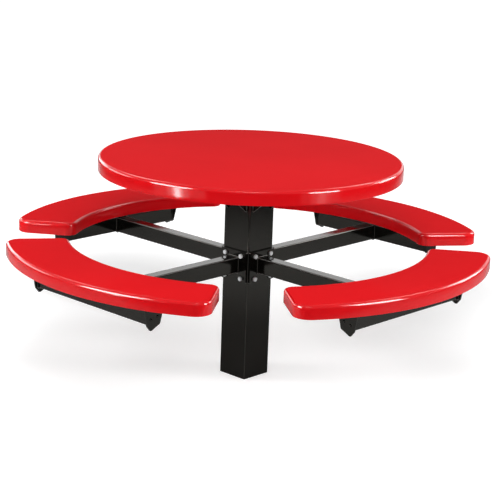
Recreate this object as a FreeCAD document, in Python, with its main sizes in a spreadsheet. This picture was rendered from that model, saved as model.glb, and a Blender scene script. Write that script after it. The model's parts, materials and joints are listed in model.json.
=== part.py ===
import FreeCAD, Part
import math
import os
import re
import Sketcher

# Round picnic table: a moulded round top and four curved seats, all carried by one square post.
# Frame: +Z up, origin in the middle of the post's foot, one seat arm along each of +X, +Y, -X, -Y.
# Lengths are millimetres and angles are degrees.

# Driving sizes, by the piece that they belong to
SIZES = {
    # heights above the ground line, and how far the post goes below it
    "table_height": 762,
    "seat_height": 452,
    "post_buried": 105,
    # square steel post and the cap plate welded on its top
    "post_side": 136,
    "post_wall": 4.8,
    "post_corner": 6,
    "cap_thick": 8,
    # moulded shells of the top and the seats, with the boards bonded inside them
    "shell_wall": 4,
    "edge_round": 12,
    "lip_round": 1.5,
    "board_thick": 18,
    "board_clear": 2,
    # round table top
    "table_diameter": 1168,
    "table_rim": 54,
    # curved seats, each a piece of one ring
    "seat_outer": 932,
    "seat_width": 240,
    "seat_angle": 72.5,
    "seat_rim": 50,
    "seat_corner_out": 58,
    "seat_corner_in": 38,
    # tapered channels under the table top
    "top_arm_width": 102,
    "top_arm_wall": 5,
    "top_arm_bend": 8,
    "top_arm_reach": 480,
    "top_arm_root": 175,
    "top_arm_knee": 60,
    "top_arm_knee_reach": 212,
    "top_arm_tip": 38,
    "top_screw_end": 40,
    "top_screw_gap": 140,
    "top_screw_side": 28,
    # square-ended tubes that carry the seats
    "arm_drop": 68,
    "tube_width": 51,
    "tube_depth": 62,
    "tube_wall": 3,
    "tube_corner": 5,
    # plates that bolt the seat arms to the post
    "plate_thick": 10,
    "plate_height": 122,
    "plate_edge": 2,
    "plate_rise": 24,
    "plate_corner": 4,
    "bolt_end": 16,
    # bolts, washers and nuts that hold the plates
    "bolt_thick": 10,
    "bolt_flats": 16,
    "head_height": 6.5,
    "head_bevel": 1,
    "washer_wide": 22,
    "washer_thick": 2,
    "nut_height": 8,
    "nut_clear": 5,
    "bolt_spare": 2,
    "hole_clear": 0.5,
    "thread_clear": 0.1,
    # cross bar under each seat and the bracket on each of its ends
    "bar_length": 610,
    "bar_set_in": 43,
    "bracket_thick": 6,
    "bracket_bend": 5,
    "flange_length": 45,
    "bracket_top_width": 112,
    "bracket_low_spare": 9,
    "tab_root_out": 27,
    "tab_root_in": 6,
    "tab_root_drop": 9,
    "tab_tip_out": 20,
    "tab_tip_in": -12,
    "tab_drop": 18,
    "vent_bore": 9,
    "vent_out": 18,
    "vent_out_drop": 39,
    "vent_in": 12,
    "vent_in_drop": 32,
    "flange_screw_side": 34,
    # screws that hold the boards down on the channels and brackets
    "screw_thick": 6,
    "screw_bite": 13,
    "screw_flats": 10,
    "screw_head": 4.5,
    "screw_collar_wide": 15,
    "screw_collar_thick": 1.5,
    "pilot_spare": 2,
}

# Sizes that follow from the driving ones
DERIVED = {
    "table_level": "post_buried + table_height",
    "seat_level": "post_buried + seat_height",
    "table_radius": "table_diameter / 2",
    "seat_inner": "seat_outer - seat_width",
    "seat_middle": "(seat_outer + seat_inner) / 2",
    "board_inset": "edge_round + board_clear",
    "table_board_level": "table_level - shell_wall - board_thick",
    "seat_board_level": "seat_level - shell_wall - board_thick",
    "post_top": "table_board_level - cap_thick",
    "post_half": "post_side / 2",
    "arm_top": "seat_level - arm_drop",
    "arm_low": "arm_top - tube_depth",
    "plate_top": "arm_top + plate_rise",
    "plate_low": "plate_top - plate_height",
    "plate_face": "post_half + plate_thick",
    "bolt_high": "plate_top - bolt_end",
    "bolt_low": "plate_low + bolt_end",
    "head_seat": "plate_face + washer_thick",
    "post_inside": "post_half - post_wall",
    "nut_inside": "post_inside - nut_height",
    "bolt_side": "nut_inside - bolt_flats / 2 - nut_clear",
    "top_screw_far": "top_arm_reach - top_screw_end",
    "top_screw_near": "top_screw_far - top_screw_gap",
    "bolt_hole": "bolt_thick / 2 + hole_clear",
    "screw_hole": "screw_thick / 2 + hole_clear",
    "pilot_hole": "screw_thick / 2 + thread_clear",
    "flange_middle": "bar_length / 2 - flange_length / 2",
    "bar_middle": "seat_middle - bar_set_in",
    "bar_inner": "bar_middle - tube_width / 2",
    "bar_outer": "bar_middle + tube_width / 2",
    "tube_half": "bar_length / 2 - bracket_thick",
}

SIDES = 4
QUARTER_TURN = 360 / SIDES
HEX_SIDES = 6
TOLERANCE = 0.001
X_AXIS = FreeCAD.Vector(1, 0, 0)
Y_AXIS = FreeCAD.Vector(0, 1, 0)
Z_AXIS = FreeCAD.Vector(0, 0, 1)

os.makedirs("parts", exist_ok=True)
doc = FreeCAD.newDocument("picnic_table")
sheet = doc.addObject("Spreadsheet::Sheet", "Sizes")
for row, (name, size) in enumerate(SIZES.items(), start=1):
    sheet.set("A%d" % row, name)
    sheet.set("B%d" % row, str(size))
    sheet.setAlias("B%d" % row, name)
for row, (name, words) in enumerate(DERIVED.items(), start=len(SIZES) + 1):
    sheet.set("A%d" % row, name)
    sheet.set("B%d" % row, "=" + words)
    sheet.setAlias("B%d" % row, name)
doc.recompute()

NAMES = set(SIZES) | set(DERIVED)
nodes = []


def formula(words):
    """The same formula with every size name pointed at the sheet."""
    return re.sub(r"[a-z_]+", lambda word: "Sizes." + word[0] if word[0] in NAMES else word[0], words)


def value(words):
    """What a formula of size names comes to now."""
    return float(sheet.evalExpression(formula(words)))


def bind(thing, **settings):
    """Tie each named property of an object to a formula of size names."""
    for prop, words in settings.items():
        thing.setExpression(prop, formula(words))


def bind_place(thing, across="0", along="0", up="0"):
    """Tie an object's place to three formulas of size names."""
    for axis, words in (("x", across), ("y", along), ("z", up)):
        thing.setExpression("Placement.Base." + axis, formula(words))


def keep(thing, label):
    """Make an object a node of the table under its own name."""
    thing.Label = label
    nodes.append(thing)


def keep_round(thing, label):
    """Keep an object as number 1 of four, and its copies turned about the post as the others."""
    keep(thing, label + "_1")
    for turn in range(1, SIDES):
        copy = doc.addObject("Part::Compound", "copy")
        copy.Links = [thing]
        copy.Placement = FreeCAD.Placement(FreeCAD.Vector(), FreeCAD.Rotation(Z_AXIS, turn * QUARTER_TURN))
        keep(copy, "%s_%d" % (label, turn + 1))


# Helpers for solid bodies made from sketches

def new_body(label):
    return doc.addObject("PartDesign::Body", label)


def new_sketch(body, role, level="0"):
    """A sketch on an origin plane of its body, moved off it by level along +X, +Y or +Z."""
    sketch = body.newObject("Sketcher::SketchObject", "sketch")
    plane = next(feature for feature in body.Origin.OriginFeatures if feature.Role == role)
    sketch.AttachmentSupport = [(plane, "")]
    sketch.MapMode = "FlatFace"
    toward = "-(%s)" if role == "XZ_Plane" else "%s"
    sketch.setExpression("AttachmentOffset.Base.z", formula(toward % level))
    return sketch


def hold(sketch, kind, target, words, angle=False):
    """Add one dimension to a sketch and tie it to a formula of size names."""
    amount = value(words)
    if angle:
        amount = math.radians(amount)
    number = sketch.addConstraint(Sketcher.Constraint(kind, *target, amount))
    name = "size_%d" % number
    sketch.renameConstraint(number, name)
    sketch.setExpression("Constraints." + name, formula(words))


def draw_outline(sketch, corners):
    """A closed outline of straight lines whose corners are pairs of formulas."""
    first = sketch.GeometryCount
    places = [FreeCAD.Vector(value(across), value(up), 0) for across, up in corners]
    for number, place in enumerate(places):
        sketch.addGeometry(Part.LineSegment(place, places[(number + 1) % len(places)]), False)
    for number, (across, up) in enumerate(corners):
        line = first + number
        before = first + (number - 1) % len(corners)
        sketch.addConstraint(Sketcher.Constraint("Coincident", before, 2, line, 1))
        hold(sketch, "DistanceX", (-1, 1, line, 1), across)
        hold(sketch, "DistanceY", (-1, 1, line, 1), up)


def draw_rectangle(sketch, left, right, low, high):
    draw_outline(sketch, [(left, low), (right, low), (right, high), (left, high)])


def draw_circle(sketch, radius, across="0", up="0"):
    middle = FreeCAD.Vector(value(across), value(up), 0)
    circle = sketch.addGeometry(Part.Circle(middle, Z_AXIS, value(radius)), False)
    hold(sketch, "Radius", (circle,), radius)
    hold(sketch, "DistanceX", (-1, 1, circle, 3), across)
    hold(sketch, "DistanceY", (-1, 1, circle, 3), up)


def draw_ring_piece(sketch, inner, outer, inset):
    """A piece of a ring about the post, its two ends moved in by inset, parallel to themselves."""
    half = math.radians(value("seat_angle / 2"))
    near, far, shift = value(inner), value(outer), value(inset)
    origin = FreeCAD.Vector()
    arcs = []
    for radius, words in ((near, inner), (far, outer)):
        reach = half - math.asin(shift / radius)
        arc = Part.ArcOfCircle(Part.Circle(origin, Z_AXIS, radius), -reach, reach)
        arcs.append(sketch.addGeometry(arc, False))
        sketch.addConstraint(Sketcher.Constraint("Coincident", arcs[-1], 3, -1, 1))
        hold(sketch, "Radius", (arcs[-1],), words)
    for end, sign in ((1, "-"), (2, "")):
        start = sketch.getPoint(arcs[0], end)
        stop = sketch.getPoint(arcs[1], end)
        line = sketch.addGeometry(Part.LineSegment(start, stop), False)
        sketch.addConstraint(Sketcher.Constraint("Coincident", line, 1, arcs[0], end))
        sketch.addConstraint(Sketcher.Constraint("Coincident", line, 2, arcs[1], end))
        hold(sketch, "Angle", (line,), sign + "seat_angle / 2", angle=True)
        if shift > 0:
            hold(sketch, "Distance", (-1, 1, line), inset)
        else:
            sketch.addConstraint(Sketcher.Constraint("PointOnObject", -1, 1, line))


def pad(body, sketch, length, symmetric=False, backwards=False):
    feature = body.newObject("PartDesign::Pad", "pad")
    feature.Profile = sketch
    feature.Midplane = symmetric
    feature.Reversed = backwards
    bind(feature, Length=length)
    doc.recompute()
    return feature


def pocket(body, sketch, length, symmetric=False, backwards=False):
    """Cut a sketch out of its body and make sure that something went."""
    before = body.Shape.Volume
    feature = body.newObject("PartDesign::Pocket", "pocket")
    feature.Profile = sketch
    feature.Midplane = symmetric
    feature.Reversed = backwards
    bind(feature, Length=length)
    doc.recompute()
    if not body.Shape.Volume < before:
        raise RuntimeError("a pocket in %s cuts nothing" % body.Name)
    return feature


def round_edges(body, radius, wanted):
    """Round every edge of the body's last feature that the test wants."""
    base = body.Tip
    edges = ["Edge%d" % number for number, edge in enumerate(base.Shape.Edges, start=1) if wanted(edge)]
    feature = body.newObject("PartDesign::Fillet", "fillet")
    feature.Base = (base, edges)
    bind(feature, Radius=radius)
    doc.recompute()
    return feature


def close(one, other):
    return abs(one - other) < TOLERANCE


def is_along(edge, axis):
    """Is the edge a straight line along this axis?"""
    if not isinstance(edge.Curve, Part.Line):
        return False
    return close(abs(edge.Curve.Direction.normalize().dot(axis)), 1)


def is_level(edge, height):
    """Does the whole edge lie at this height?"""
    box = edge.BoundBox
    return close(box.ZMin, height) and close(box.ZMax, height)


def edge_radius(edge):
    """How far the middle of an edge stands from the axis of the post."""
    middle = edge.BoundBox.Center
    return math.hypot(middle.x, middle.y)


def round_upright(body, radius, reach):
    """Round the upright edges that stand at this distance from the axis of the post."""
    away = value(reach)
    round_edges(body, radius, lambda edge: is_along(edge, Z_AXIS) and close(edge_radius(edge), away))


# Square post, open at its foot, with four bolt holes in each face

def make_post():
    body = new_body("post")
    square = new_sketch(body, "XY_Plane")
    draw_rectangle(square, "-post_half", "post_half", "-post_half", "post_half")
    pad(body, square, "post_top")
    round_edges(body, "post_corner", lambda edge: is_along(edge, Z_AXIS))
    bore = new_sketch(body, "XY_Plane")
    draw_rectangle(bore, "-post_inside", "post_inside", "-post_inside", "post_inside")
    pocket(body, bore, "post_top", backwards=True)
    round_upright(body, "post_corner - post_wall", "post_inside * sqrt(2)")
    for role in ("XZ_Plane", "YZ_Plane"):
        holes = new_sketch(body, role)
        for side in ("-", ""):
            for level in ("bolt_low", "bolt_high"):
                draw_circle(holes, "bolt_hole", side + "bolt_side", level)
        pocket(body, holes, "post_side", symmetric=True)
    keep(body, "post")


# Cap plate that closes the post and touches the board above

def make_post_cap():
    body = new_body("post_cap")
    square = new_sketch(body, "XY_Plane", "post_top")
    draw_rectangle(square, "-post_half", "post_half", "-post_half", "post_half")
    pad(body, square, "cap_thick")
    keep(body, "post_cap")


# Tapered channel, open below, deepest where it meets the post

def make_top_arm():
    body = new_body("top_arm")
    top = "table_board_level"
    side = new_sketch(body, "XZ_Plane")
    draw_outline(side, [
        ("post_half", top),
        ("post_half", top + " - top_arm_root"),
        ("top_arm_knee_reach", top + " - top_arm_knee"),
        ("top_arm_reach", top + " - top_arm_tip"),
        ("top_arm_reach", top),
    ])
    pad(body, side, "top_arm_width", symmetric=True)
    half_width = value("top_arm_width / 2")
    high = value(top)
    round_edges(body, "top_arm_bend", lambda edge: is_along(edge, X_AXIS) and is_level(edge, high)
                and close(abs(edge.BoundBox.Center.y), half_width))
    hollow = new_sketch(body, "XZ_Plane")
    draw_rectangle(hollow, "0", "top_arm_reach + top_arm_wall", top + " - top_arm_root - top_arm_wall",
                   top + " - top_arm_wall")
    pocket(body, hollow, "top_arm_width - 2 * top_arm_wall", symmetric=True)
    holes = new_sketch(body, "XY_Plane", top)
    for reach in ("top_screw_near", "top_screw_far"):
        for sign in ("-", ""):
            draw_circle(holes, "screw_hole", reach, sign + "top_screw_side")
    pocket(body, holes, "top_arm_wall")
    keep_round(body, "top_arm")


def round_shell(body, level, rim):
    """Roll the upper edge of a moulded shell, inside and then outside, and soften its lower lip."""
    ceiling = value(level + " - shell_wall")
    round_edges(body, "edge_round - shell_wall", lambda edge: is_level(edge, ceiling))
    high = value(level)
    round_edges(body, "edge_round", lambda edge: is_level(edge, high))
    low = value("%s - %s" % (level, rim))
    round_edges(body, "lip_round", lambda edge: is_level(edge, low))


# Round moulded top: a thin shell with a rolled edge, open below

def make_table_shell():
    body = new_body("table_top_shell")
    disc = new_sketch(body, "XY_Plane", "table_level")
    draw_circle(disc, "table_radius")
    pad(body, disc, "table_rim", backwards=True)
    hollow = new_sketch(body, "XY_Plane", "table_level - table_rim")
    draw_circle(hollow, "table_radius - shell_wall")
    pocket(body, hollow, "table_rim - shell_wall", backwards=True)
    round_shell(body, "table_level", "table_rim")
    keep(body, "table_top_shell")


# Round board bonded under the skin of the top, with pilot holes for the screws

def make_table_board():
    body = new_body("table_top_board")
    disc = new_sketch(body, "XY_Plane", "table_board_level")
    draw_circle(disc, "table_radius - board_inset")
    pad(body, disc, "board_thick")
    holes = new_sketch(body, "XY_Plane", "table_board_level")
    for reach in ("top_screw_near", "top_screw_far"):
        for sign in ("-", ""):
            draw_circle(holes, "pilot_hole", reach, sign + "top_screw_side")
    drilled = pocket(body, holes, "screw_bite - top_arm_wall + pilot_spare", backwards=True)
    pattern = body.newObject("PartDesign::PolarPattern", "pattern")
    pattern.Originals = [drilled]
    axis = next(feature for feature in body.Origin.OriginFeatures if feature.Role == "Z_Axis")
    pattern.Axis = (axis, [""])
    pattern.Angle = SIDES * QUARTER_TURN
    pattern.Occurrences = SIDES
    body.Tip = pattern
    doc.recompute()
    keep(body, "table_top_board")


# Rectangular tube from the bolt plate out to the cross bar

def make_seat_arm():
    body = new_body("seat_arm")
    section = new_sketch(body, "YZ_Plane", "plate_face")
    draw_rectangle(section, "-tube_width / 2", "tube_width / 2", "arm_low", "arm_top")
    pad(body, section, "bar_inner - plate_face")
    round_edges(body, "tube_corner", lambda edge: is_along(edge, X_AXIS))
    bore = new_sketch(body, "YZ_Plane", "plate_face")
    draw_rectangle(bore, "-tube_width / 2 + tube_wall", "tube_width / 2 - tube_wall",
                   "arm_low + tube_wall", "arm_top - tube_wall")
    pocket(body, bore, "bar_inner - plate_face", backwards=True)
    side = value("tube_width / 2 - tube_wall")
    round_edges(body, "tube_corner - tube_wall",
                lambda edge: is_along(edge, X_AXIS) and close(abs(edge.BoundBox.Center.y), side))
    keep_round(body, "seat_arm")


# Plate on the inner end of a seat arm, bolted flat against the post

def make_arm_plate():
    body = new_body("arm_plate")
    half = "(post_half - plate_edge)"
    face = new_sketch(body, "YZ_Plane", "post_half")
    draw_rectangle(face, "-" + half, half, "plate_low", "plate_top")
    pad(body, face, "plate_thick")
    round_edges(body, "plate_corner", lambda edge: is_along(edge, X_AXIS))
    holes = new_sketch(body, "YZ_Plane", "post_half")
    for side in ("-", ""):
        for level in ("bolt_low", "bolt_high"):
            draw_circle(holes, "bolt_hole", side + "bolt_side", level)
    pocket(body, holes, "plate_thick", backwards=True)
    keep_round(body, "arm_plate")


# Cross bar: the same tube, square to its arm, under the seat

def make_seat_bar():
    body = new_body("seat_bar")
    section = new_sketch(body, "XZ_Plane")
    draw_rectangle(section, "bar_inner", "bar_outer", "arm_low", "arm_top")
    pad(body, section, "2 * tube_half", symmetric=True)
    round_edges(body, "tube_corner", lambda edge: is_along(edge, Y_AXIS))
    bore = new_sketch(body, "XZ_Plane")
    draw_rectangle(bore, "bar_inner + tube_wall", "bar_outer - tube_wall",
                   "arm_low + tube_wall", "arm_top - tube_wall")
    pocket(body, bore, "2 * tube_half", symmetric=True)
    reaches = (value("bar_inner + tube_wall"), value("bar_outer - tube_wall"))
    round_edges(body, "tube_corner - tube_wall", lambda edge: is_along(edge, Y_AXIS)
                and any(close(edge.BoundBox.Center.x, reach) for reach in reaches))
    keep_round(body, "seat_bar")


# Folded bracket on one end of a cross bar: a flared plate with a tab below and a flange above

def make_bracket(hand, sign):
    body = new_body("seat_bracket_" + hand)
    levels = ("seat_board_level", "arm_low", "arm_low - tab_root_drop", "arm_low - tab_drop")
    outer = ("bracket_top_width / 2", "tube_width / 2 + bracket_low_spare", "tab_root_out", "tab_tip_out")
    inner = ("bracket_top_width / 2", "tube_width / 2", "tab_root_in", "tab_tip_in")
    down = [("bar_middle + %s" % side, level) for side, level in zip(outer, levels)]
    up = [("bar_middle - (%s)" % side, level) for side, level in zip(inner, levels)]
    plate = new_sketch(body, "XZ_Plane", sign + "tube_half")
    draw_outline(plate, down + up[::-1])
    pad(body, plate, "bracket_thick", backwards=(sign == ""))
    flange = new_sketch(body, "XY_Plane", "seat_board_level")
    wide = ("bar_middle - bracket_top_width / 2", "bar_middle + bracket_top_width / 2")
    deep = [sign + "(bar_length / 2 - flange_length)", sign + "tube_half"]
    if sign:
        deep.reverse()
    draw_rectangle(flange, *wide, *deep)
    pad(body, flange, "bracket_thick", backwards=True)
    vents = new_sketch(body, "XZ_Plane", sign + "tube_half")
    for side, drop in (("- vent_in", "vent_in_drop"), ("+ vent_out", "vent_out_drop")):
        draw_circle(vents, "vent_bore / 2", "bar_middle " + side, "arm_top - " + drop)
    pocket(body, vents, "bracket_thick", backwards=(sign == "-"))
    holes = new_sketch(body, "XY_Plane", "seat_board_level")
    for side in ("-", "+"):
        draw_circle(holes, "screw_hole", "bar_middle %s flange_screw_side" % side, sign + "flange_middle")
    pocket(body, holes, "bracket_thick")
    fold = (value("seat_board_level"), value("bar_length / 2"))
    round_edges(body, "bracket_bend", lambda edge: is_along(edge, X_AXIS) and is_level(edge, fold[0])
                and close(abs(edge.BoundBox.Center.y), fold[1]))
    keep_round(body, "seat_bracket_" + hand)


# Curved moulded seat: a thin shell with a rolled edge, open below

def make_seat_shell():
    body = new_body("seat_shell")
    plan = new_sketch(body, "XY_Plane", "seat_level")
    draw_ring_piece(plan, "seat_inner", "seat_outer", "0")
    pad(body, plan, "seat_rim", backwards=True)
    hollow = new_sketch(body, "XY_Plane", "seat_level - seat_rim")
    draw_ring_piece(hollow, "seat_inner + shell_wall", "seat_outer - shell_wall", "shell_wall")
    pocket(body, hollow, "seat_rim - shell_wall", backwards=True)
    for corner, reach in (("seat_corner_out - shell_wall", "seat_outer - shell_wall"),
                          ("seat_corner_in - shell_wall", "seat_inner + shell_wall"),
                          ("seat_corner_out", "seat_outer"), ("seat_corner_in", "seat_inner")):
        round_upright(body, corner, reach)
    round_shell(body, "seat_level", "seat_rim")
    keep_round(body, "seat_shell")


# Curved board bonded under the skin of a seat, with pilot holes for the screws

def make_seat_board():
    body = new_body("seat_board")
    plan = new_sketch(body, "XY_Plane", "seat_board_level")
    near, far = "seat_inner + board_inset", "seat_outer - board_inset"
    draw_ring_piece(plan, near, far, "board_inset")
    pad(body, plan, "board_thick")
    round_upright(body, "seat_corner_out - board_inset", far)
    round_upright(body, "seat_corner_in - board_inset", near)
    holes = new_sketch(body, "XY_Plane", "seat_board_level")
    for sign in ("-", ""):
        for side in ("-", "+"):
            draw_circle(holes, "pilot_hole", "bar_middle %s flange_screw_side" % side, sign + "flange_middle")
    pocket(body, holes, "screw_bite - bracket_thick + pilot_spare", backwards=True)
    keep_round(body, "seat_board")


# Helpers for fasteners made from primitives

def new_cylinder(radius, length, place, rotation=None):
    cylinder = doc.addObject("Part::Cylinder", "cylinder")
    cylinder.Placement.Rotation = rotation or FreeCAD.Rotation()
    bind(cylinder, Radius=radius, Height=length)
    bind_place(cylinder, *place)
    return cylinder


def new_hexagon(flats, length, place, rotation=None):
    prism = doc.addObject("Part::Prism", "hexagon")
    prism.Polygon = HEX_SIDES
    prism.Placement.Rotation = rotation or FreeCAD.Rotation()
    bind(prism, Circumradius="%s / sqrt(3)" % flats, Height=length)
    bind_place(prism, *place)
    return prism


def new_cone(wide, narrow, length, place, rotation=None):
    cone = doc.addObject("Part::Cone", "cone")
    cone.Placement.Rotation = rotation or FreeCAD.Rotation()
    bind(cone, Radius1=wide, Radius2=narrow, Height=length)
    bind_place(cone, *place)
    return cone


def join(kind, one, other):
    """Cut, fuse or intersect two solids."""
    result = doc.addObject("Part::" + kind, kind.lower())
    result.Base = one
    result.Tool = other
    return result


def gather(things, name):
    """One object that holds a group of separate solids."""
    group = doc.addObject("Part::Compound", name)
    group.Links = things
    return group


OUTWARD = FreeCAD.Rotation(Y_AXIS, 90)
BOLT_PLACES = [(side + "bolt_side", level) for side in ("-", "") for level in ("bolt_low", "bolt_high")]


# Hexagon bolts, washers and nuts that hold one bolt plate

def make_bolts():
    bolts = []
    for side, level in BOLT_PLACES:
        place = ("head_seat", side, level)
        head = new_hexagon("bolt_flats", "head_height", place, OUTWARD)
        bevel = new_cone("bolt_flats / sqrt(3) + head_height - head_bevel",
                         "bolt_flats / sqrt(3) - head_bevel", "head_height", place, OUTWARD)
        shank_length = "head_seat - nut_inside + bolt_spare"
        shank = new_cylinder("bolt_thick / 2", shank_length, ("nut_inside - bolt_spare", side, level), OUTWARD)
        bolts.append(join("Fuse", join("Common", head, bevel), shank))
    keep_round(gather(bolts, "arm_bolts"), "arm_bolts")


def make_washers():
    washers = []
    for side, level in BOLT_PLACES:
        place = ("plate_face", side, level)
        disc = new_cylinder("washer_wide / 2", "washer_thick", place, OUTWARD)
        hole = new_cylinder("bolt_hole", "washer_thick", place, OUTWARD)
        washers.append(join("Cut", disc, hole))
    keep_round(gather(washers, "arm_washers"), "arm_washers")


def make_nuts():
    nuts = []
    for side, level in BOLT_PLACES:
        place = ("nut_inside", side, level)
        block = new_hexagon("bolt_flats", "nut_height", place, OUTWARD)
        thread = new_cylinder("bolt_thick / 2 + thread_clear", "nut_height", place, OUTWARD)
        nuts.append(join("Cut", block, thread))
    keep_round(gather(nuts, "arm_nuts"), "arm_nuts")


# Collared screws, driven up from below into a board

def new_screw(across, along, seat):
    """A screw whose collar bears upward against metal at this level."""
    collar_low = seat + " - screw_collar_thick"
    collar = new_cylinder("screw_collar_wide / 2", "screw_collar_thick", (across, along, collar_low))
    head = new_hexagon("screw_flats", "screw_head", (across, along, collar_low + " - screw_head"))
    shank = new_cylinder("screw_thick / 2", "screw_bite", (across, along, seat))
    return join("Fuse", join("Fuse", head, collar), shank)


def make_table_screws():
    screws = []
    for reach in ("top_screw_near", "top_screw_far"):
        for sign in ("-", ""):
            for place in ((reach, sign + "top_screw_side"), ("-" + reach, sign + "top_screw_side"),
                          (sign + "top_screw_side", reach), (sign + "top_screw_side", "-" + reach)):
                screws.append(new_screw(*place, "table_board_level - top_arm_wall"))
    keep(gather(screws, "table_top_screws"), "table_top_screws")


def make_seat_screws():
    screws = []
    for sign in ("-", ""):
        for side in ("-", "+"):
            across = "bar_middle %s flange_screw_side" % side
            seat = "seat_board_level - bracket_thick"
            screws.append(new_screw(across, sign + "flange_middle", seat))
    keep_round(gather(screws, "seat_screws"), "seat_screws")


make_post()
make_post_cap()
make_top_arm()
make_table_shell()
make_table_board()
make_table_screws()
make_seat_arm()
make_arm_plate()
make_bolts()
make_washers()
make_nuts()
make_seat_bar()
make_bracket("left", "")
make_bracket("right", "-")
make_seat_shell()
make_seat_board()
make_seat_screws()

# Check every object before anything is written
doc.recompute()
for thing in doc.Objects:
    if "Invalid" in thing.State or "Error" in thing.State:
        raise RuntimeError("%s is %s" % (thing.Label, thing.State))
for node in nodes:
    if node.Shape.isNull() or not node.Shape.isValid() or not node.Shape.Solids:
        raise RuntimeError("%s has no sound shape" % node.Label)

for node in nodes:
    node.Shape.exportStep("parts/%s.step" % node.Label)
    print("%-22s %3d solids %12.0f mm3" % (node.Label, len(node.Shape.Solids), node.Shape.Volume))
print(len(nodes), "nodes")
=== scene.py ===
# %% [markdown]
# # A round picnic table on one square post
#
# The table has a moulded red top and curved red seats, a black steel frame, and zinc-plated bolts.
# Its solid parts come ready made, in metres, with +Z up and the foot of the post at the origin.
# Here they get their finishes, and the small things that a solid model leaves out are added to them.

import json
import math

import bmesh
import bpy
from mathutils import Matrix, Vector


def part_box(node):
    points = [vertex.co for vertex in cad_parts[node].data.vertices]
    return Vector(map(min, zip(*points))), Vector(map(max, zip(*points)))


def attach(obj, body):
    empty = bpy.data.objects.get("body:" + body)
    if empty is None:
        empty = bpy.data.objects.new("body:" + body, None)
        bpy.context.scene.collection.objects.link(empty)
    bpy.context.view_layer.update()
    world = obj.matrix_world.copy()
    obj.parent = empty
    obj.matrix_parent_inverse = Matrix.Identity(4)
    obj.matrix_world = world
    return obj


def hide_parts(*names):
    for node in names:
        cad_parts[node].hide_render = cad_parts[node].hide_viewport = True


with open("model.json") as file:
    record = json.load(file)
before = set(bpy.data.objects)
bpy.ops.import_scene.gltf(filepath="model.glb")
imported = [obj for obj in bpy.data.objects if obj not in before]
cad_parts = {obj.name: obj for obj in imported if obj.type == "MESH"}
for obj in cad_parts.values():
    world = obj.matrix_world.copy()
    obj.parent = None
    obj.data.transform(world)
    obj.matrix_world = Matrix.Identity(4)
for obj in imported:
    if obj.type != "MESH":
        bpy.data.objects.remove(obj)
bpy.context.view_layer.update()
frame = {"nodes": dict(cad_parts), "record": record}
parts = frame["nodes"]

# %% [markdown]
# The camera comes first, because everything else is judged through it. The photograph was taken with a
# long lens from almost six metres away and a little above the table, looking along the line between
# two seats. Its horizon leans a little, so the camera is rolled about its own axis by the same angle.
# Such a view could be found by hand, by sliding the camera until the outlines meet. These numbers were
# solved instead, from the ellipses that the round top and the seats make in the photograph.

# %% Set up the camera
SEAT_LEVEL = parts["seat_shell_1"].bound_box[6][2]
CAMERA_AWAY = 5.762
CAMERA_OVER_SEATS = 1.479
CAMERA_SIDE = math.radians(-46.40)
CAMERA_PAN = math.radians(-0.081)
CAMERA_PITCH = math.radians(14.93)
CAMERA_ROLL = math.radians(2.037)
CAMERA_LENS = 110.44


def add_camera():
    camera = bpy.data.objects.new("camera", bpy.data.cameras.new("camera"))
    bpy.context.scene.collection.objects.link(camera)
    camera.data.lens = CAMERA_LENS
    place = Vector((CAMERA_AWAY * math.cos(CAMERA_SIDE), CAMERA_AWAY * math.sin(CAMERA_SIDE),
                    SEAT_LEVEL + CAMERA_OVER_SEATS))
    heading = Matrix.Rotation(CAMERA_SIDE + math.radians(90) + CAMERA_PAN, 4, "Z")
    tilt = Matrix.Rotation(math.radians(90) - CAMERA_PITCH, 4, "X")
    roll = Matrix.Rotation(CAMERA_ROLL, 4, "Z")
    camera.matrix_world = Matrix.Translation(place) @ heading @ tilt @ roll
    bpy.context.scene.camera = camera
    bpy.context.scene.view_settings.view_transform = "Standard"
    return camera


camera = add_camera()
print("camera at", [round(number, 3) for number in camera.matrix_world.translation])

# %% [markdown]
# A finish is a small network of shader nodes, and so is the light of the studio. The nodes could be
# placed and joined one by one, but then each network would fill a page. These helpers add the nodes that
# they are asked for and join them up, so that each network below reads as a short list.

# %% A helper for shader networks
class Network:
    """A network of shader nodes that is built one node at a time."""

    GIVE_NUMBER = ("DISTANCE", "LENGTH", "DOT_PRODUCT")

    def __init__(self, tree):
        self.tree = tree

    def node(self, kind, inputs=None, **settings):
        """Add a node, set its properties, and fill its inputs with values or with other nodes' outputs."""
        node = self.tree.nodes.new("ShaderNode" + kind)
        for name, setting in settings.items():
            setattr(node, name, setting)
        self.fill(node, inputs or {})
        return node

    def fill(self, node, inputs):
        """Set a node's inputs to values, or join them to other nodes' outputs."""
        for key, given in inputs.items():
            socket = node.inputs[key]
            if isinstance(given, bpy.types.NodeSocket):
                self.tree.links.new(given, socket)
            else:
                socket.default_value = given

    def math(self, operation, first, second):
        """Combine two numbers."""
        return self.node("Math", {0: first, 1: second}, operation=operation).outputs[0]

    def between(self, factor, low, high, start=0.0, stop=1.0, shape="LINEAR"):
        """Turn a number into one between low and high, as it goes from start to stop."""
        return self.node("MapRange", {"Value": factor, "To Min": low, "To Max": high, "From Min": start,
                                      "From Max": stop}, interpolation_type=shape).outputs["Result"]

    def vector(self, operation, first, second=(0.0, 0.0, 0.0)):
        """Combine two vectors. Some operations give a number, and the others a vector."""
        node = self.node("VectorMath", {0: first, 1: second}, operation=operation)
        return node.outputs["Value" if operation in self.GIVE_NUMBER else "Vector"]


print("a network can combine vectors into a number by", ", ".join(Network.GIVE_NUMBER))

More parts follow.
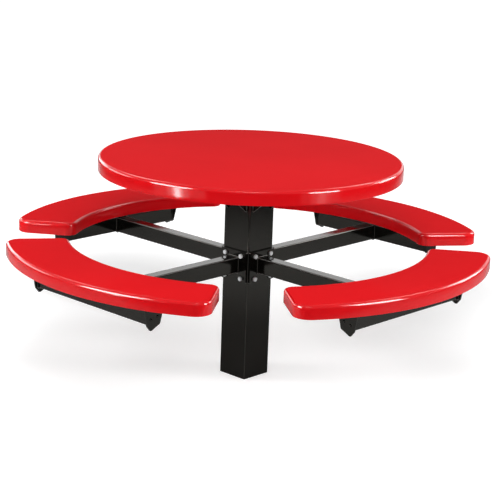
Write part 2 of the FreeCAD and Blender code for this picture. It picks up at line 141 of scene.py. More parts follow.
# %% A helper for finishes
class Finish(Network):
    """A material, with its network and the shader that gives its surface."""

    def __init__(self, name):
        self.material = bpy.data.materials.new(name)
        self.material.use_nodes = True
        super().__init__(self.material.node_tree)
        self.surface = self.tree.nodes["Principled BSDF"]
        self.tree.nodes["Material Output"].target = "ALL"

    def place(self, stretch=(1, 1, 1)):
        """Points of the object in metres, stretched before a pattern is laid on them."""
        coords = self.node("TexCoord")
        return self.node("Mapping", {"Vector": coords.outputs["Object"], "Scale": stretch}).outputs[0]

    def noise(self, scale, detail=2, rough=0.5, stretch=(1, 1, 1)):
        """Clouds of numbers between 0 and 1, with so many clouds to a metre."""
        return self.node("TexNoise", {"Vector": self.place(stretch), "Scale": scale, "Detail": detail,
                                      "Roughness": rough}).outputs["Fac"]

    def ramp(self, factor, low, high, start=0.0, stop=1.0):
        """Turn a pattern into a colour between two colours."""
        ramp = self.node("ValToRGB", {"Fac": factor})
        ramp.color_ramp.elements[0].position = start
        ramp.color_ramp.elements[1].position = stop
        ramp.color_ramp.elements[0].color = (*low, 1)
        ramp.color_ramp.elements[1].color = (*high, 1)
        return ramp.outputs["Color"]

    def bump(self, height, depth, strength):
        """Let a pattern stand out from the surface, as far as the depth in metres."""
        inputs = {"Height": height, "Distance": depth, "Strength": strength}
        return self.node("Bump", inputs).outputs["Normal"]

    def done(self):
        print("finish", self.material.name, "with", len(self.tree.nodes), "nodes")
        return self.material


print("a finish can also add", [name for name in vars(Finish) if not name.startswith("_")])

# %% [markdown]
# The gel coat is a hard, deep red layer that is sprayed into the mould before the glass fibre, so it
# comes out as smooth as the mould. It is mostly plain colour, with a thin clear gloss over it.
#
# The gloss isn't the same everywhere. The rolled edges and the rims keep the shine of the mould. The flat
# tops are satin after some seasons of plates and trousers, and the sides that face the post are dull,
# because legs rub past them. The wear could be painted by hand, but the direction in which the surface
# faces tells it all: upward is a flat top, and toward the post is an inner side. So two small networks
# read that direction, in the object's own space, and scale the gloss.

# %% Where the gel coat keeps its gloss
GLOSS_EDGE = 1.0
GLOSS_FLAT = 0.012
FLAT_START = 0.95
FLAT_STOP = 0.995
GLOSS_INSIDE = 0.12
INSIDE_START = -0.96
INSIDE_STOP = -0.70
LEVEL = (1.0, 1.0, 0.0)


def gloss_by_slope(finish):
    """Full gloss on the edges and sides, and little where the surface faces up."""
    facing = finish.node("TexCoord").outputs["Normal"]
    upward = finish.node("SeparateXYZ", {"Vector": facing}).outputs["Z"]
    return finish.between(upward, GLOSS_EDGE, GLOSS_FLAT, FLAT_START, FLAT_STOP, shape="SMOOTHSTEP")


def gloss_by_side(finish):
    """Full gloss on most sides, and little where the surface faces the post."""
    coords = finish.node("TexCoord").outputs
    outward = finish.vector("NORMALIZE", finish.vector("MULTIPLY", coords["Object"], LEVEL))
    facing = finish.vector("DOT_PRODUCT", outward, coords["Normal"])
    return finish.between(facing, GLOSS_INSIDE, 1.0, INSIDE_START, INSIDE_STOP, shape="SMOOTHSTEP")


print("gloss from", GLOSS_FLAT, "on the flat tops to", GLOSS_EDGE, "on the edges")

# %% [markdown]
# Coarse noise gives the slow drift in colour of a sprayed layer, and fine noise the slight ripple in its
# gloss. The gloss is a coat over a fairly rough base: a single glossy layer would mirror the room in the
# flat tops too. A trace of sheen lets them grow a little paler toward the far side, as dusty plastic does.

# %% Red gel coat
GEL_RED = (0.70, 0.0028, 0.0065)
GEL_RED_DEEP = (0.66, 0.0022, 0.0055)
GEL_ROUGH = (0.38, 0.46)
COAT_ROUGH = 0.10
COAT_IOR = 1.5
SHEEN = 0.025
SHEEN_ROUGH = 0.5
DRIFT_SCALE = 3.0
DRIFT_SPREAD = (0.3, 0.7)
SMEAR_SCALE = 20.0
RIPPLE_SCALE = 55.0
RIPPLE_DEPTH = 0.00012
RIPPLE_SHOWS = 0.35


def make_gel_coat():
    finish = Finish("gel_coat")
    drift = finish.noise(DRIFT_SCALE, detail=3)
    ripple = finish.bump(finish.noise(RIPPLE_SCALE, detail=2), RIPPLE_DEPTH, RIPPLE_SHOWS)
    finish.fill(finish.surface, {
        "Base Color": finish.ramp(drift, GEL_RED_DEEP, GEL_RED, *DRIFT_SPREAD),
        "Roughness": finish.between(finish.noise(SMEAR_SCALE, detail=4), *GEL_ROUGH),
        "Specular IOR Level": 0.0,
        "Coat Weight": finish.math("MULTIPLY", gloss_by_slope(finish), gloss_by_side(finish)),
        "Coat Roughness": COAT_ROUGH,
        "Coat IOR": COAT_IOR,
        "Sheen Weight": SHEEN,
        "Sheen Roughness": SHEEN_ROUGH,
        "Normal": ripple,
        "Coat Normal": ripple,
    })
    return finish.done()


gel_coat = make_gel_coat()

# %% [markdown]
# The hollow side of a moulding was never against the mould. There, chopped strands of glass are rolled
# into red resin by hand, and they show as a felt of short pale threads that cross in all directions.
# Hair could draw each thread, but nobody sees them one by one. Three layers of noise, each drawn out
# along its own direction and laid over the others, give the same felt.

# %% Chopped glass strands in red resin
RESIN_RED = (0.30, 0.008, 0.010)
RESIN_PALE = (0.46, 0.07, 0.06)
RESIN_ROUGH = (0.30, 0.55)
CLOUD_SCALE = 9.0
CLOUD_SPREAD = (0.3, 0.7)
DRY_SHADE = 0.4
STRAND_TURNS = (12.0, 67.0, 128.0)
STRAND_STRETCH = (1.0, 11.0, 11.0)
STRAND_SCALE = 46.0
STRAND_WAVER = 0.6
STRAND_EDGE = (0.52, 0.66)
STRAND_DEPTH = 0.0005
STRAND_SHOWS = 0.8


def strand_layer(finish, turn):
    """A layer of threads that lie along one direction, which is given in degrees."""
    coords = finish.node("TexCoord").outputs["Object"]
    spin = (0.0, 0.0, math.radians(turn))
    turned = finish.node("Mapping", {"Vector": coords, "Rotation": spin}).outputs[0]
    drawn_out = finish.node("Mapping", {"Vector": turned, "Scale": STRAND_STRETCH}).outputs[0]
    threads = finish.node("TexNoise", {"Vector": drawn_out, "Scale": STRAND_SCALE, "Detail": 3.0,
                                       "Distortion": STRAND_WAVER}).outputs["Fac"]
    return finish.between(threads, 0.0, 1.0, *STRAND_EDGE)


def make_laminate():
    finish = Finish("laminate")
    felt = strand_layer(finish, STRAND_TURNS[0])
    for turn in STRAND_TURNS[1:]:
        felt = finish.math("MAXIMUM", felt, strand_layer(finish, turn))
    wetted = finish.between(finish.noise(CLOUD_SCALE, detail=2), DRY_SHADE, 1.0, *CLOUD_SPREAD)
    finish.fill(finish.surface, {
        "Base Color": finish.ramp(finish.math("MULTIPLY", felt, wetted), RESIN_RED, RESIN_PALE),
        "Roughness": finish.between(felt, *RESIN_ROUGH),
        "Normal": finish.bump(felt, STRAND_DEPTH, STRAND_SHOWS),
    })
    return finish.done()


laminate = make_laminate()

# %% [markdown]
# The steel is powder coated: a dry black powder is baked on until it flows together. It ends up glossy,
# with a faint skin like that of an orange, and in small spots it is a little thin and paler. The rounded
# corners of the tubes and the weld beads are painted paler too, a painted highlight that is strongest where
# they face up. A bevel node could find the corners, but it is slow and grainy. The tubes lie square to the
# axes, so a surface that faces far from all three axes is a corner or a bead.

# %% Thin spots, and the painted highlight on corners
CORNER_START = 0.82
CORNER_STOP = 0.95
HIGHLIGHT_SIDEWAYS = 0.12
HIGHLIGHT_UPWARD = 0.8
UPWARD_SPREAD = (0.1, 0.6)
SPOT_SCALE = 9.0
SPOT_SPREAD = (0.35, 0.75)
SPOTS = 0.012


def thin_spots_and_painted_highlight(finish):
    """How pale the powder is: a little in thin spots, and much on corners and beads, a painted highlight
    that is strongest where they face up.
    """
    spots = finish.between(finish.noise(SPOT_SCALE, detail=4), 0.0, SPOTS, *SPOT_SPREAD)
    ways = finish.vector("ABSOLUTE", finish.node("TexCoord").outputs["Normal"])
    along = finish.node("SeparateXYZ", {"Vector": ways}).outputs
    squarest = finish.math("MAXIMUM", finish.math("MAXIMUM", along["X"], along["Y"]), along["Z"])
    corner = finish.between(squarest, 1.0, 0.0, CORNER_START, CORNER_STOP, shape="SMOOTHSTEP")
    highlight_upward = finish.between(along["Z"], HIGHLIGHT_SIDEWAYS, HIGHLIGHT_UPWARD, *UPWARD_SPREAD)
    return finish.math("MAXIMUM", spots, finish.math("MULTIPLY", corner, highlight_upward))


# The paler corners are a painted highlight, not thin powder.
print("powder on corners from", HIGHLIGHT_SIDEWAYS, "sideways to", HIGHLIGHT_UPWARD, "upward")

# %% Black powder coat
POWDER_BLACK = (0.0022, 0.0019, 0.0015)
POWDER_THIN_AND_HIGHLIGHT = (0.20, 0.195, 0.185)
POWDER_SHINE = (1.0, 0.97, 0.86)
POWDER_GLOSS = 0.5
POWDER_ROUGH = (0.10, 0.15)
FLOW_SCALE = 30.0
SKIN_SCALE = 420.0
SKIN_DEPTH = 0.00004
SKIN_SHOWS = 0.5


def make_powder_coat():
    finish = Finish("powder_coat")
    # The base colour runs to a paler grey in thin spots, and on corners as a painted highlight.
    finish.fill(finish.surface, {
        "Base Color": finish.ramp(thin_spots_and_painted_highlight(finish), POWDER_BLACK, POWDER_THIN_AND_HIGHLIGHT),
        "Roughness": finish.between(finish.noise(FLOW_SCALE, detail=3), *POWDER_ROUGH),
        "Specular IOR Level": POWDER_GLOSS,
        "Specular Tint": (*POWDER_SHINE, 1.0),
        "Normal": finish.bump(finish.noise(SKIN_SCALE, detail=1), SKIN_DEPTH, SKIN_SHOWS),
    })
    return finish.done()


powder_coat = make_powder_coat()

# %% [markdown]
# Zinc plate is a thin bright metal layer on the bolts, nuts and screws. Its crystals catch the light in
# slightly different ways, so small cells of a Voronoi pattern change its colour a little, and fine noise
# changes its roughness. It isn't a full mirror: weather leaves a pale bloom on it, so part of the surface
# stays matt.

# %% Zinc plate
ZINC_DARK = (0.74, 0.75, 0.77)
ZINC_BRIGHT = (0.90, 0.91, 0.92)
ZINC_METAL = 0.6
ZINC_ROUGH = (0.22, 0.36)
CRYSTAL_SCALE = 900.0
BLOOM_SCALE = 260.0
PIT_SCALE = 700.0
PIT_DEPTH = 0.00003
PIT_SHOWS = 0.4


def make_zinc():
    finish = Finish("zinc")
    crystals = finish.node("TexVoronoi", {"Vector": finish.place(), "Scale": CRYSTAL_SCALE})
    finish.fill(finish.surface, {
        "Base Color": finish.ramp(crystals.outputs["Color"], ZINC_DARK, ZINC_BRIGHT),
        "Metallic": ZINC_METAL,
        "Roughness": finish.between(finish.noise(BLOOM_SCALE, detail=3), *ZINC_ROUGH),
        "Normal": finish.bump(finish.noise(PIT_SCALE, detail=2), PIT_DEPTH, PIT_SHOWS),
    })
    return finish.done()


zinc = make_zinc()

# %% [markdown]
# The boards inside the top and the seats are plywood. They are sealed against the damp with the red resin
# that bonds them to the mouldings, and it turns the wood dark red. Seen from below, the face shows long
# grain. A photograph of wood could be wrapped round the boards, but noise that is stretched a long way
# along one direction reads as grain too, and needs no picture.

# %% Sealed plywood
PLY_LIGHT = (0.20, 0.045, 0.028)
PLY_DARK = (0.10, 0.020, 0.013)
PLY_ROUGH = (0.62, 0.48)
GRAIN_SCALE = 22.0
GRAIN_SPREAD = (0.32, 0.62)
GRAIN_STRETCH = (1, 14, 14)
GRAIN_DEPTH = 0.0004
GRAIN_SHOWS = 0.5


def make_plywood():
    finish = Finish("plywood")
    grain = finish.noise(GRAIN_SCALE, detail=8, rough=0.62, stretch=GRAIN_STRETCH)
    finish.fill(finish.surface, {
        "Base Color": finish.ramp(grain, PLY_DARK, PLY_LIGHT, *GRAIN_SPREAD),
        "Roughness": finish.between(grain, *PLY_ROUGH),
        "Normal": finish.bump(grain, GRAIN_DEPTH, GRAIN_SHOWS),
    })
    return finish.done()


plywood = make_plywood()

# %% [markdown]
# Each solid part takes the finish that its material slot in the parts' record asks for. A list of parts
# for each finish would do too, but it would have to be kept in step with the record.

# %% Dress the solid parts
FINISH_OF_SLOT = {"gel_coat": gel_coat, "powder_coat": powder_coat, "zinc": zinc, "board": plywood}
SLOT_OF_NODE = {row["node"]: row["material_slot"] for row in frame["record"]["subparts"]}


def dress(piece, finish):
    piece.data.materials.clear()
    piece.data.materials.append(finish)


for name, part in parts.items():
    dress(part, FINISH_OF_SLOT[SLOT_OF_NODE[name]])
print("dressed", len(parts), "parts")

# %% [markdown]
# The red top and seats are mouldings: shells of glass fibre with one wall all round, a rolled edge, and a
# rim that hangs down. The edge is drawn once, as a section that starts on the flat top, rolls over, runs
# down the rim and round the lip, and comes up again inside. Each point of the section says how far in from
# the rim it lies and how far below the top. A ring of the shell's outline, moved in by that much, goes
# through every point, and faces join each ring to the next. A bevel on a solid could give the same edge,
# but rings keep the highlights unbroken, because they follow the curve exactly.

# %% The section of a moulded edge
SHELL_WALL = 0.004
EDGE_ROUND = 0.012
LIP_ROUND = 0.0015
FLAT_RING = 0.002
EDGE_STEPS = 16
LIP_STEPS = 4


def arc_points(middle, radius, start, stop, steps):
    """Points on an arc, with its angles in degrees."""
    angles = [math.radians(start + (stop - start) * step / steps) for step in range(steps + 1)]
    return [(middle[0] + radius * math.cos(angle), middle[1] + radius * math.sin(angle)) for angle in angles]


def edge_section(rim):
    """The section of a shell's edge: pairs of the way in from the rim and the height over the top."""
    roll = (EDGE_ROUND, -EDGE_ROUND)
    outside = [(EDGE_ROUND + FLAT_RING, 0.0)] + arc_points(roll, EDGE_ROUND, 90, 180, EDGE_STEPS)
    lip_out = arc_points((LIP_ROUND, LIP_ROUND - rim), LIP_ROUND, 180, 270, LIP_STEPS)
    lip_in = arc_points((SHELL_WALL - LIP_ROUND, LIP_ROUND - rim), LIP_ROUND, 270, 360, LIP_STEPS)
    inside = arc_points(roll, EDGE_ROUND - SHELL_WALL, 180, 90, EDGE_STEPS)
    return outside + lip_out, lip_in + inside + [(EDGE_ROUND + FLAT_RING, -SHELL_WALL)]


print("the wall is", 1000 * SHELL_WALL, "mm and the edge is rolled by", 1000 * EDGE_ROUND, "mm")

# %% Helpers for new pieces and for moulded shells
def new_piece(name, shape, *finishes):
    """An object made of a bmesh, with its finishes, that rides with the table."""
    mesh = bpy.data.meshes.new(name)
    bmesh.ops.recalc_face_normals(shape, faces=shape.faces)
    shape.to_mesh(mesh)
    shape.free()
    mesh.shade_smooth()
    for finish in finishes:
        mesh.materials.append(finish)
    piece = bpy.data.objects.new(name, mesh)
    bpy.context.scene.collection.objects.link(piece)
    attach(piece, "root")
    return piece


def add_shell(node, outline, rim):
    """Replace a shell of the frame by a smooth one, given the outline's points for each way in."""
    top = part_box(node)[1][2]
    shape = bmesh.new()
    outside, inside = edge_section(rim)
    rings = []
    for way_in, height in outside + inside:
        rings.append([shape.verts.new((across, along, top + height)) for across, along in outline(way_in)])
    for number, (ring, after) in enumerate(zip(rings, rings[1:])):
        for corner in range(len(ring)):
            face = shape.faces.new((ring[corner - 1], ring[corner], after[corner], after[corner - 1]))
            face.material_index = int(number >= len(outside))
    shape.faces.new(rings[0])
    shape.faces.new(rings[-1]).material_index = 1
    bmesh.ops.triangulate(shape, faces=[face for face in shape.faces if len(face.verts) > 4])
    piece = new_piece(node.replace("shell", "moulding"), shape, gel_coat, laminate)
    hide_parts(node)
    print(piece.name, "has", len(piece.data.polygons), "faces")
    return piece


# %% [markdown]
# The top is round, so its outline is a circle, and each ring is a circle too. It takes the place of the
# solid shell, in the same box. The board and the steel under it are left as they came.

# %% Table top
TABLE_RIM = 0.054
CIRCLE_STEPS = 360


def table_outline(way_in):
    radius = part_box("table_top_shell")[1][0] - way_in
    return arc_points((0.0, 0.0), radius, 0, 360, CIRCLE_STEPS)[:-1]


table_top = add_shell("table_top_shell", table_outline, TABLE_RIM)
print("the top is", round(2 * table_outline(0.0)[0][0], 3), "m across")

# %% [markdown]
# A seat is a piece of a ring with round corners. Its outline could be cut from a disc, and moved in by an
# offset tool, but the points of one ring would then not match those of the next. Here the middles of the
# corners stay where they are when the outline moves in, and only the radii change. So every ring of the
# edge has the same number of points, and the faces between them are even.

# %% Seats
SEAT_OUTER = 0.932
SEAT_INNER = 0.692
SEAT_HALF_ANGLE = 36.25
SEAT_RIM = 0.050
CORNER_OUT = 0.058
CORNER_IN = 0.038
ARC_STEPS = 110
CORNER_STEPS = 18
SAME_POINT = 1e-6


def seat_outline(way_in, turn):
    """The outline of a seat, moved in, with the seat turned about the post by so many degrees."""
    outer_middle, inner_middle = SEAT_OUTER - CORNER_OUT, SEAT_INNER + CORNER_IN
    outer_end = SEAT_HALF_ANGLE - math.degrees(math.asin(CORNER_OUT / outer_middle))
    inner_end = SEAT_HALF_ANGLE - math.degrees(math.asin(CORNER_IN / inner_middle))
    square = SEAT_HALF_ANGLE + 90
    points = arc_points((0.0, 0.0), SEAT_OUTER - way_in, turn - outer_end, turn + outer_end, ARC_STEPS)
    for middle, end, radius, start, stop in (
            (outer_middle, outer_end, CORNER_OUT, outer_end, square),
            (inner_middle, inner_end, CORNER_IN, square, inner_end + 180)):
        at = arc_points((0.0, 0.0), middle, turn + end, turn + end, 1)[0]
        points += arc_points(at, radius - way_in, turn + start, turn + stop, CORNER_STEPS)
    points += arc_points((0.0, 0.0), SEAT_INNER + way_in, turn + inner_end, turn - inner_end, ARC_STEPS)
    for middle, end, radius, start, stop in (
            (inner_middle, inner_end, CORNER_IN, -inner_end + 180, -square + 360),
            (outer_middle, outer_end, CORNER_OUT, -square, -outer_end)):
        at = arc_points((0.0, 0.0), middle, turn - end, turn - end, 1)[0]
        points += arc_points(at, radius - way_in, turn + start, turn + stop, CORNER_STEPS)
    return [point for point, before in zip(points, points[-1:] + points)
            if math.dist(point, before) > SAME_POINT]


seats = []
for number in range(4):
    seats.append(add_shell("seat_shell_%d" % (number + 1),
                           lambda way_in, turn=90.0 * number: seat_outline(way_in, turn), SEAT_RIM))
print(len(seats), "seats reach", SEAT_OUTER, "m from the post's middle")

# %% [markdown]
# The arms are welded to their plates and to the cross bars, the bars to their brackets, and the tapered
# channels to the post. A bead of weld metal runs round each of these joints, and its small ripples are
# what the welder leaves behind at each step. A curve with a round profile could draw a plain bead. To get
# the ripples, each bead is swept ring by ring along the corner between two parts instead, and its
# thickness swells and shrinks along the way. First come the paths: the outline of a tube, and points at
# even steps along it.

# %% Helpers for the paths of the beads
TUBE_ROUND = 0.006
ROUND_STEPS = 6


def rounded_loop(low, high, radius):
    """Points round a rectangle with round corners, given its low and its high corner."""
    points = []
    for middle, start in (
            ((high[0] - radius, high[1] - radius), 0), ((low[0] + radius, high[1] - radius), 90),
            ((low[0] + radius, low[1] + radius), 180), ((high[0] - radius, low[1] + radius), 270)):
        points += arc_points(middle, radius, start, start + 90, ROUND_STEPS)
    return points + points[:1]


def tube_loop(box, axis, out):
    """Points round a level tube and a little outside it, as pairs of the way along the axis and up."""
    low, high = box
    return rounded_loop((low[axis] - out, low[2] - out), (high[axis] + out, high[2] + out), TUBE_ROUND)


def even_steps(points, step):
    """Points at even distances along a path."""
    points = [Vector(point) for point in points]
    lengths = [(after - before).length for before, after in zip(points, points[1:])]
    count = max(2, round(sum(lengths) / step))
    spots, leg, gone = [], 0, 0.0
    for number in range(count + 1):
        along = sum(lengths) * number / count
        while leg < len(lengths) - 1 and gone + lengths[leg] < along:
            gone += lengths[leg]
            leg += 1
        share = min(1.0, (along - gone) / lengths[leg]) if lengths[leg] else 0.0
        spots.append(points[leg].lerp(points[leg + 1], share))
    return spots


print("a tube's outline has", len(tube_loop(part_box("seat_arm_1"), 1, 0.0)), "points")

# %% [markdown]
# A ring of the bead stands square to the path. On a closed loop, one fixed direction, the one that the loop
# faces, tells how each ring is turned; on a straight path, any direction square to it will do. Faces join
# each ring to the next, and a straight bead is closed at both ends.

# %% A helper for beads
BEAD = 0.0032
BEAD_SWELL = 0.0006
BEAD_PITCH = 0.0045
BEAD_STEP = 0.0014
BEAD_SIDES = 8


def bead_ring(shape, spot, before, after, facing, radius, swing):
    """A ring of points round a spot of the path, square to the path there."""
    ahead = (after - before).normalized()
    side = ahead.orthogonal().normalized() if facing is None else facing
    up = ahead.cross(side).normalized()
    side = up.cross(ahead)
    ring = []
    for corner in range(BEAD_SIDES):
        angle = math.tau * corner / BEAD_SIDES
        point = spot + radius * (math.cos(angle) * side + math.sin(angle) * up)
        ring.append(shape.verts.new(swing @ point))
    return ring


def sweep_bead(shape, points, swing):
    """Add a bead along a path, which is swung about the post."""
    spots = even_steps(points, BEAD_STEP)
    closed = (spots[0] - spots[-1]).length < BEAD_STEP / 10
    spots = spots[:-1] if closed else spots
    facing = None
    if closed:
        facing = sum((a.cross(b) for a, b in zip(spots, spots[1:])), Vector()).normalized()
    rings = []
    for number, spot in enumerate(spots):
        before = spots[number - 1] if closed or number else spot
        after = spots[(number + 1) % len(spots)] if closed or number < len(spots) - 1 else spot
        ripple = abs(math.sin(math.pi * number * BEAD_STEP / BEAD_PITCH))
        radius = BEAD + BEAD_SWELL * (ripple - 0.5)
        rings.append(bead_ring(shape, spot, before, after, facing, radius, swing))
    for ring, after in zip(rings, rings[1:] + (rings[:1] if closed else [])):
        for corner in range(BEAD_SIDES):
            shape.faces.new((ring[corner - 1], ring[corner], after[corner], after[corner - 1]))
    if not closed:
        shape.faces.new(rings[0])
        shape.faces.new(rings[-1])


print("a bead is", 2000 * BEAD, "mm thick and has a ripple every", 1000 * BEAD_PITCH, "mm")

# %% [markdown]
# The beads of one quarter are worked out from the boxes of the first arm, bar and channel, so they follow
# if a part changes, and the other quarters are the same paths swung about the post. The middle of a bead
# lies just outside the corner, so that most of it is sunk in the two parts that it joins.

# %% Weld beads
BEAD_OUT = 0.0008


def add_welds(number):
    """The beads of one quarter, as one piece."""
    swing = Matrix.Rotation(math.radians(90 * (number - 1)), 3, "Z")
    arm, bar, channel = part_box("seat_arm_1"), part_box("seat_bar_1"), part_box("top_arm_1")
    shape = bmesh.new()
    for across in (arm[0][0] + BEAD_OUT, bar[0][0] - BEAD_OUT):
        sweep_bead(shape, [(across, along, up) for along, up in tube_loop(arm, 1, BEAD_OUT)], swing)
    for along in (bar[1][1] - BEAD_OUT, bar[0][1] + BEAD_OUT):
        sweep_bead(shape, [(across, along, up) for across, up in tube_loop(bar, 0, BEAD_OUT)], swing)
    for along in (channel[0][1] - BEAD_OUT, channel[1][1] + BEAD_OUT):
        ends = (channel[0][2] + BEAD, channel[1][2] - 2 * BEAD)
        sweep_bead(shape, [(channel[0][0] + BEAD_OUT, along, up) for up in ends], swing)
    piece = new_piece("weld_beads_%d" % number, shape, powder_coat)
    return piece


welds = [add_welds(number) for number in (1, 2, 3, 4)]
print("weld beads", [len(weld.data.vertices) for weld in welds], "points")

# %% [markdown]
# The table stands on a wide pale floor, which is lit like everything else, so it holds the soft shadow.
# Brighter lamps would turn the floor white, but they would burn out the red. So the floor gives a little
# light of its own, which only the camera sees. It gives less near the table, which paints shade round the
# real shadow, and least in four round patches behind the post and beside it, which are painted shadows
# where the shadow of the photograph is deepest. All these places are measured along two directions:
# toward the camera, and to the right of that.

# %% What the camera sees of the floor
TOWARD_CAMERA = (math.cos(CAMERA_SIDE), math.sin(CAMERA_SIDE), 0.0)
ASIDE = (-math.sin(CAMERA_SIDE), math.cos(CAMERA_SIDE), 0.0)
LIFT_NEAR = 0.43
LIFT_FAR = 0.75
LIFT_START = 0.7
LIFT_STOP = 2.8
LIFT_MIDDLE = -0.9
# Four painted shadows: how far toward the camera, how far to the right, and the share of light left in the
# core.
PAINTED_SHADOWS = ((-1.30, -0.62, 0.35), (-1.25, 0.85, 0.45), (-0.25, -0.60, 0.65), (-0.50, 0.80, 0.60))
SHADOW_CORE = 0.2
SHADOW_SOFT = 0.65


def floor_point(forward, right):
    """A point of the floor, so far toward the camera and so far to the right."""
    return Vector(TOWARD_CAMERA) * forward + Vector(ASIDE) * right


def floor_lift(finish, place):
    """How much light the floor gives of its own at a place: less near the table, and least in four patches
    of painted shadow.
    """
    away = finish.vector("DISTANCE", place, floor_point(LIFT_MIDDLE, 0.0))
    lift = finish.between(away, LIFT_NEAR, LIFT_FAR, LIFT_START, LIFT_STOP, shape="SMOOTHSTEP")
    for forward, right, share in PAINTED_SHADOWS:
        near = finish.vector("DISTANCE", place, floor_point(forward, right))
        painted_shadow = finish.between(near, share, 1.0, SHADOW_CORE, SHADOW_SOFT, shape="SMOOTHSTEP")
        lift = finish.math("MULTIPLY", lift, painted_shadow)
    return lift


print("the floor gives", LIFT_NEAR, "near the table and", LIFT_FAR, "far away")

# %% [markdown]
# The rims and the tubes mirror the floor, so the dark and the light on it show in their gloss. In a real
# studio a white sheet lies under the thing and runs up behind it, but it ends a step in front and to the
# sides, and beyond it the room is dark. The floor paints that as a reflection, for rays that come off
# gloss and for no others: dim under the table as painted shade, pale round it, white behind it, and dark
# in front and at the sides. To the camera the floor stays pale, so all of this is a painted reflection.
# Black cards round the table could do the same, but they would throw shadows.

# %% The floor's painted reflection in the gloss
# The painted shade under the table, as the gloss sees it.
PAINTED_SHADE_UNDER = 0.30
SHEET_ROUND = 0.42
UNDER_START = 0.6
UNDER_STOP = 1.4
SHEET_BEHIND = 1.0
BEHIND_START = -1.6
BEHIND_STOP = -3.4
DARK_ROOM = 0.04
FRONT_START = 1.3
FRONT_STOP = 2.0
SIDE_DARK = 0.1
SIDE_START = 1.5
SIDE_STOP = 3.4


def painted_floor_reflection(finish, place):
    """How pale the floor is at a place in the painted reflection that only gloss sees, with painted shade
    under the table.
    """
    away = finish.vector("LENGTH", place)
    ahead = finish.vector("DOT_PRODUCT", place, TOWARD_CAMERA)
    right = finish.vector("DOT_PRODUCT", place, ASIDE)
    sideways = finish.math("ABSOLUTE", right, 0.0)
    sheet = finish.between(away, PAINTED_SHADE_UNDER, SHEET_ROUND, UNDER_START, UNDER_STOP, shape="SMOOTHSTEP")
    sheet = finish.between(ahead, sheet, DARK_ROOM, FRONT_START, FRONT_STOP, shape="SMOOTHSTEP")
    sheet = finish.between(ahead, SHEET_BEHIND, sheet, BEHIND_STOP, BEHIND_START, shape="SMOOTHSTEP")
    width = finish.between(sideways, 1.0, SIDE_DARK, SIDE_START, SIDE_STOP, shape="SMOOTHSTEP")
    return finish.math("MULTIPLY", sheet, width)


print("the mirrored sheet ends", FRONT_STOP, "m in front of the post and", SIDE_STOP, "m to its sides")

# %% Floor
FLOOR_RADIUS = 60.0
FLOOR_STEPS = 96
FLOOR_PALE = 0.82
FLOOR_ROUGH = 0.9


def make_floor_finish():
    finish = Finish("floor")
    path = finish.node("LightPath").outputs
    place = finish.place()
    # Gloss sees the painted reflection of the floor, everything else its even pale.
    pale = finish.between(path["Is Glossy Ray"], FLOOR_PALE, painted_floor_reflection(finish, place))
    grey = finish.node("CombineColor", {"Red": pale, "Green": pale, "Blue": pale})
    # The floor's own light, seen by the camera only, is lower near the table and in four patches: painted
    # shade.
    finish.fill(finish.surface, {
        "Base Color": grey.outputs["Color"],
        "Roughness": FLOOR_ROUGH,
        "Specular IOR Level": 0.0,
        "Emission Color": (1, 1, 1, 1),
        "Emission Strength": finish.math("MULTIPLY", floor_lift(finish, place), path["Is Camera Ray"]),
    })
    return finish.done()


def add_floor():
    mesh = bpy.data.meshes.new("floor")
    shape = bmesh.new()
    bmesh.ops.create_circle(shape, cap_ends=True, radius=FLOOR_RADIUS, segments=FLOOR_STEPS)
    shape.to_mesh(mesh)
    shape.free()
    floor = bpy.data.objects.new("floor", mesh)
    bpy.context.scene.collection.objects.link(floor)
    dress(floor, make_floor_finish())
    return floor


floor = add_floor()

# %% [markdown]
# Round the floor lies the world. It gives an even glow from all sides, and it is plain white where the
# camera sees it. A picture of a studio could be wrapped round the scene, but two numbers are enough here:
# the gloss mirrors a bright wall behind the table, and a dim room in all other directions.

# %% The white room
WORLD_LIGHT = 0.42
BACK_SHINE = 1.3
ROOM_SHINE = 0.30
BACK_EDGE = -math.cos(math.radians(22))
BACK_FADED = -math.cos(math.radians(50))


def light_world():
    world = bpy.data.worlds.new("studio")
    bpy.context.scene.world = world
    world.use_nodes = True
    studio = Network(world.node_tree)
    path = studio.node("LightPath").outputs
    heading = studio.node("TexCoord").outputs["Generated"]
    ahead = studio.vector("DOT_PRODUCT", heading, TOWARD_CAMERA)
    mirrored = studio.between(ahead, BACK_SHINE, ROOM_SHINE, BACK_EDGE, BACK_FADED, shape="SMOOTHSTEP")
    lighting = studio.between(path["Is Glossy Ray"], WORLD_LIGHT, mirrored)
    strength = studio.between(path["Is Camera Ray"], lighting, 1.0)
    studio.fill(studio.tree.nodes["Background"], {"Color": (1, 1, 1, 1), "Strength": strength})
    return world


print("world", light_world().name, "lights with", WORLD_LIGHT)

# %% [markdown]
# A lamp stands at an angle round from the camera's side, at a height, and looks at the middle of the table.
# As in a studio there are two kinds. Large soft lamps light the table, and the gloss doesn't show them.
# Screens are seen only in the gloss, and light nothing. A single set of lamps could do both, but then each
# highlight that moves would change the light on the flat tops as well.

# %% Helpers for lamps
LAMP_AIM = Vector((0.0, 0.0, 0.6))
LAYER_GAP = 0.02


def add_lamp(name, azimuth, height, away, size, power, lights=True):
    """A soft lamp that either lights the table, or is only seen in its gloss."""
    lamp = bpy.data.objects.new(name, bpy.data.lights.new(name, "AREA"))
    bpy.context.scene.collection.objects.link(lamp)
    lamp.data.shape = "RECTANGLE"
    lamp.data.size, lamp.data.size_y = size
    lamp.data.energy = power
    lamp.visible_diffuse = lights
    lamp.visible_glossy = not lights
    turn = CAMERA_SIDE + math.radians(azimuth)
    place = Vector((away * math.cos(turn), away * math.sin(turn), height))
    heading = (place - LAMP_AIM).to_track_quat("Z", "Y")
    lamp.matrix_world = Matrix.Translation(place) @ heading.to_matrix().to_4x4()
    return lamp


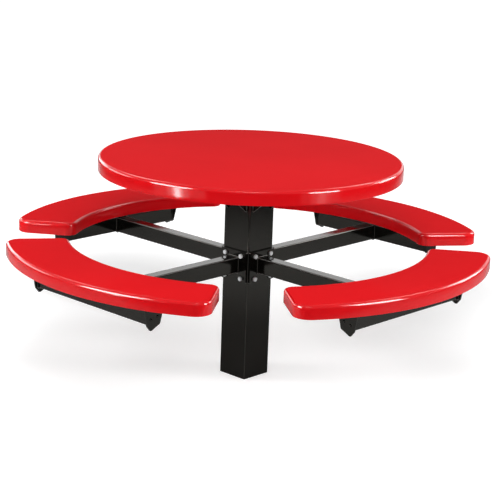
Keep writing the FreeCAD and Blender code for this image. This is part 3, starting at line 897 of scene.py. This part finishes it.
def add_strip(name, azimuth, height, away, tall, layers):
    """A strip of light with soft sides: screens of growing width, one close behind the other."""
    for number, (width, power) in enumerate(layers):
        add_lamp("%s_%d" % (name, number + 1), azimuth, height, away + LAYER_GAP * number,
                 (width, tall), power, lights=False)


print("lamps look at", tuple(LAMP_AIM))

# %% [markdown]
# The key lamp hangs above and a little in front, and gives the tops their even red. One lamp at each side
# lights the rims, a weak one above fills in from behind, and a weak one in front opens up the black steel.
# More lamps would only even out the soft shadow under the seats. In each row: the angle in degrees (to the
# right is positive), the height and the way from the post in metres, the width and the height of the lamp,
# and its power in watts.

# %% Lamps that light the table
SOFT_LAMPS = (
    ("key_lamp", 3, 3.44, 2.2, (2.4, 2.0), 53),
    ("top_lamp", 180, 4.6, 0.6, (2.4, 2.4), 9),
    ("left_lamp", -85, 1.7, 3.4, (1.4, 1.0), 66),
    ("right_lamp", 85, 1.7, 3.4, (1.4, 1.0), 62),
    ("front_lamp", 0, 0.9, 3.4, (1.6, 0.8), 7),
)

for row in SOFT_LAMPS:
    add_lamp(*row)
print(len(SOFT_LAMPS), "lamps light the table")

# %% [markdown]
# Each screen was placed by following a highlight of the photograph back: the line of sight meets the rim,
# and bounces off to where the screen must stand. The large ones at the sides draw the bright lines along
# the rolled edges and the pale outer rims. The high ones behind make the line along the far edge, and the
# glint in front is the short bright line in the middle of the near edge. The two strips are the pale soft
# stripes on the rim of the top. Such lights could be painted on the rim, but then they wouldn't move along
# it when the table is seen from another side. The rows read as those above.

# %% Screens that show in the gloss
SCREENS = (
    ("left_glow", -58, 2.0, 4.5, (2.5, 2.4), 440),
    ("right_glow", 47.5, 1.05, 1.8, (0.66, 0.75), 35),
    ("back_right_glow", 117, 2.05, 3.8, (1.75, 1.8), 90),
    ("back_left_glow", -107, 1.55, 3.8, (2.0, 1.2), 38),
    ("far_left_glow", -138, 1.65, 3.9, (1.8, 1.1), 22),
    ("front_glint", 0, 3.0, 2.6, (1.2, 0.3), 13.6),
    ("high_left_glow", -150, 3.4, 3.0, (1.5, 0.8), 18),
    ("high_right_glow", 150, 3.4, 3.0, (1.5, 0.8), 18),
)
LEFT_LAYERS = ((0.13, 1.75), (0.28, 0.95), (0.55, 0.65), (1.4, 0.75))
RIGHT_LAYERS = ((0.18, 0.20), (0.45, 0.26), (0.9, 0.30))

for row in SCREENS:
    add_lamp(*row, lights=False)
add_strip("left_strip", -46.5, 0.44, 2.0, 0.34, LEFT_LAYERS)
add_strip("right_strip", 45.5, 0.50, 1.8, 0.40, RIGHT_LAYERS)
print(len(SCREENS) + len(LEFT_LAYERS) + len(RIGHT_LAYERS), "screens show in the gloss")

# %% [markdown]
